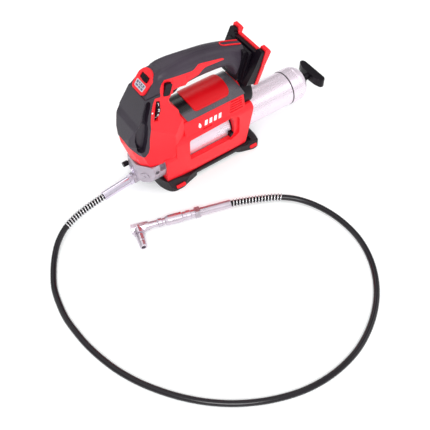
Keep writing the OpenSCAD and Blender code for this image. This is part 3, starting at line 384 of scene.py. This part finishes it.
def flat_piece(name, loops, look, body, put):
    """Thin printed shapes: loops of (u, v) points in millimetres, placed by put(u, v, lift)."""
    mesh = bpy.data.meshes.new(name)
    bm = bmesh.new()
    for loop in loops:
        top = [bm.verts.new(put(u, v, PRINT_LIFT)) for u, v in loop]
        bottom = [bm.verts.new(put(u, v, -PRINT_SINK)) for u, v in loop]
        bm.faces.new(top)
        bm.faces.new(bottom[::-1])
        for i in range(len(loop)):
            j = (i + 1) % len(loop)
            bm.faces.new((top[j], top[i], bottom[i], bottom[j]))
    bmesh.ops.recalc_face_normals(bm, faces=bm.faces)
    bm.to_mesh(mesh)
    bm.free()
    obj = bpy.data.objects.new(name, mesh)
    scene.collection.objects.link(obj)
    dress(obj, look)
    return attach(obj, body)


def node_tree(name):
    """A CAD node's faces, ready for ray casts."""
    mesh = nodes[name].data
    return BVHTree.FromPolygons([v.co for v in mesh.vertices], [p.vertices for p in mesh.polygons])


left_shell = node_tree("housing_left")
OUTSIDE_Y = -0.2
PANEL_AT = Vector((-140.6, 0, 203.4)) * MM
PANEL_SLOPE = math.radians(49.5)
PANEL = Matrix.Translation(PANEL_AT) @ Matrix.Rotation(-PANEL_SLOPE, 4, "Y")
PLATE_TOP = 2


def on_left_shell(u, v, lift):
    """A point on the left shell's outside, seen straight from the left: u is X, v is Z."""
    hit, normal, _, _ = left_shell.ray_cast(Vector((u * MM, OUTSIDE_Y, v * MM)), Vector((0, 1, 0)))
    return hit + normal * lift * MM


def on_panel(u, v, lift):
    """A point on the printed plate of the sloping top: u runs up the slope, v towards the right side."""
    return PANEL @ Vector((u * MM, v * MM, (PLATE_TOP + lift) * MM))


def bar(u0, v0, u1, v1, slant=0.0):
    """A bar between two corners, with its far side moved along by the slant."""
    return [(u0, v0), (u1, v0), (u1 + slant, v1), (u0 + slant, v1)]


def droplet(u, v, size, n=20):
    """A drop round (u, v), drawn in towards its top and flatter below."""
    loop = []
    for i in range(n):
        a = 2 * math.pi * i / n
        half_width = size * 0.62 * math.cos(a) * (1 - 0.5 * max(0, math.sin(a)) ** 1.5)
        height = size * math.sin(a) * (1.35 if math.sin(a) > 0 else 0.8)
        loop.append((u + half_width, v + height))
    return loop


# the side mark, a drop and four slanted bars, and the dot by the dial, in millimetres of X and Z
DROP_U, DROP_V, DROP_SIZE = -72, 101, 4.0
BAR_LEFT, BAR_RIGHT, BAR_LOW, BAR_HIGH = -64, -59, 98, 106
BAR_STEP = 8.5
BAR_SLANT = 2.2
POINTER_U, POINTER_V, POINTER_R = -146, 163.7, 1.3

mark = [droplet(DROP_U, DROP_V, DROP_SIZE)]
for i in range(4):
    mark.append(bar(BAR_LEFT + BAR_STEP * i, BAR_LOW, BAR_RIGHT + BAR_STEP * i, BAR_HIGH, BAR_SLANT))
flat_piece("side_mark", mark, "print_white", "housing", on_left_shell)

pointer = []
for turn in range(0, 360, 24):
    a = math.radians(turn)
    pointer.append((POINTER_U + POINTER_R * math.cos(a), POINTER_V + POINTER_R * math.sin(a)))
flat_piece("dial_pointer", [pointer], "print_white", "housing", on_left_shell)

# bars in place of the plate's small print, in millimetres up the slope and across it
plate_print = [bar(-12.2, -8.6, -9.6, -4.2), bar(-12.2, -2.6, -9.6, 1.4), bar(-12.2, 3.0, -9.6, 8.4),
               bar(-8.3, -8.8, -7.3, 3.2), bar(-6.6, -9.2, -4.5, -5.4), bar(-6.6, -3.6, -4.5, -0.6),
               bar(-6.6, 1.2, -4.5, 4.0), bar(-8.3, 5.4, -4.7, 9.0)]
flat_piece("plate_print", plate_print, "label_dark", "housing", on_panel)


DIAL_AT = Vector((-138.5, -13.5, 163.5)) * MM
DIAL_TILT = math.radians(18)
DIAL_R = 16 * MM
FIGURE_H = 5.6 * MM
FIGURE_T = 0.2 * MM
FIGURE_BOLD = 0.12 * MM
FIGURE_SPACE = 0.86
FIGURE_STEP, FIGURE_START = 30, 15


def dial_figures():
    """The figures 1 to 12 round the dial's rim, standing where the CAD has plain pads."""
    bm = bmesh.new()
    place = Matrix.Translation(DIAL_AT) @ Matrix.Rotation(DIAL_TILT, 4, "Y")
    for i in range(12):
        data = bpy.data.curves.new("figure", "FONT")
        data.body = str((i + 2) % 12 + 1)
        data.align_x, data.align_y = "CENTER", "CENTER"
        data.size, data.extrude, data.offset = FIGURE_H, FIGURE_T, FIGURE_BOLD
        data.space_character = FIGURE_SPACE
        letters = bpy.data.objects.new("figure", data)
        mesh = bpy.data.meshes.new_from_object(letters)
        mesh.transform(place @ Matrix.Rotation(math.radians(FIGURE_STEP * i + FIGURE_START), 4, "X")
                       @ Matrix.Translation((0, -DIAL_R, 0)) @ Matrix.Rotation(math.radians(90), 4, "X"))
        bm.from_mesh(mesh)
        bpy.data.meshes.remove(mesh)
        bpy.data.objects.remove(letters)
        bpy.data.curves.remove(data)
    bmesh.ops.remove_doubles(bm, verts=bm.verts, dist=1e-6)
    mesh = bpy.data.meshes.new("dial_figures")
    bm.to_mesh(mesh)
    bm.free()
    obj = bpy.data.objects.new("dial_figures", mesh)
    scene.collection.objects.link(obj)
    dress(obj, "print_white")
    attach(obj, "shutoff_dial")
    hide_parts("dial_digits")


dial_figures()

# ---------------------------------------------------------------- floor and light
FLOOR_REACH = 6.0
FLOOR_Z = -0.0002
ROOM_TURN = 0.6
ROOM_LEFT, ROOM_RIGHT = 0.85, 0.35
SKY_STRENGTH = 0.65
SKY_SPREAD = math.radians(70)
SKY_LEAN = (math.radians(-12), math.radians(-16), 0)


def make_floor():
    mesh = bpy.data.meshes.new("floor")
    corners = [(x * FLOOR_REACH, y * FLOOR_REACH, FLOOR_Z) for x, y in ((-1, -1), (1, -1), (1, 1), (-1, 1))]
    mesh.from_pydata(corners, [], [(0, 1, 2, 3)])
    floor = bpy.data.objects.new("floor", mesh)
    scene.collection.objects.link(floor)
    g = Graph("floor")
    tone = g.mix(g.spread(g.noise(3, 3), 0.3, 0.7), rgb((0.93, 0.94, 0.94)), rgb((0.96, 0.97, 0.97)))
    g.put(g.shader.inputs["Base Color"], tone)
    g.shader.inputs["Roughness"].default_value = 0.75
    g.shader.inputs["Specular IOR Level"].default_value = 0.2
    g.shader.inputs["Emission Color"].default_value = (0.9, 1, 1, 1)
    g.shader.inputs["Emission Strength"].default_value = 0.1
    mesh.materials.append(g.material)


def area_light(name, at, aim, size, watts):
    data = bpy.data.lights.new(name, "AREA")
    data.shape = "RECTANGLE"
    data.size, data.size_y = size
    data.energy = watts
    lamp = bpy.data.objects.new(name, data)
    scene.collection.objects.link(lamp)
    lamp.location = at
    lamp.rotation_mode = "QUATERNION"
    lamp.rotation_quaternion = (Vector(aim) - Vector(at)).to_track_quat("-Z", "Y")


def make_room():
    """White light from all round, brighter from the object's left (-Y) than from its right (+Y)."""
    world = bpy.data.worlds.new("studio")
    world.use_nodes = True
    tree = world.node_tree
    background = tree.nodes["Background"]
    background.inputs["Color"].default_value = (1, 1, 1, 1)
    direction = tree.nodes.new("ShaderNodeTexCoord").outputs["Generated"]
    parts = tree.nodes.new("ShaderNodeSeparateXYZ")
    level = tree.nodes.new("ShaderNodeMapRange")
    for key, number in (("From Min", -ROOM_TURN), ("From Max", ROOM_TURN),
                        ("To Min", ROOM_LEFT), ("To Max", ROOM_RIGHT)):
        level.inputs[key].default_value = number
    tree.links.new(direction, parts.inputs[0])
    tree.links.new(parts.outputs["Y"], level.inputs["Value"])
    tree.links.new(level.outputs[0], background.inputs["Strength"])
    scene.world = world


def make_sky():
    """A very soft sun, as a ceiling's light."""
    sun = bpy.data.lights.new("sky", "SUN")
    sun.energy = SKY_STRENGTH
    sun.angle = SKY_SPREAD
    lamp = bpy.data.objects.new("sky", sun)
    lamp.rotation_euler = SKY_LEAN
    scene.collection.objects.link(lamp)


make_floor()
make_room()
area_light("key", at=(-0.80, -1.15, 1.25), aim=(-0.05, -0.1, 0.05), size=(0.7, 0.7), watts=15)
area_light("far left", at=(-1.5, 0.8, 0.7), aim=(-0.1, 0, 0.12), size=(0.8, 0.8), watts=2.5)
area_light("fill", at=(1.4, -0.9, 1.3), aim=(0, -0.1, 0), size=(1.4, 1.0), watts=5)
area_light("back", at=(0.3, 1.2, 1.4), aim=(0, 0, 0.1), size=(1.2, 0.6), watts=4)
make_sky()
scene.view_settings.view_transform = "Standard"
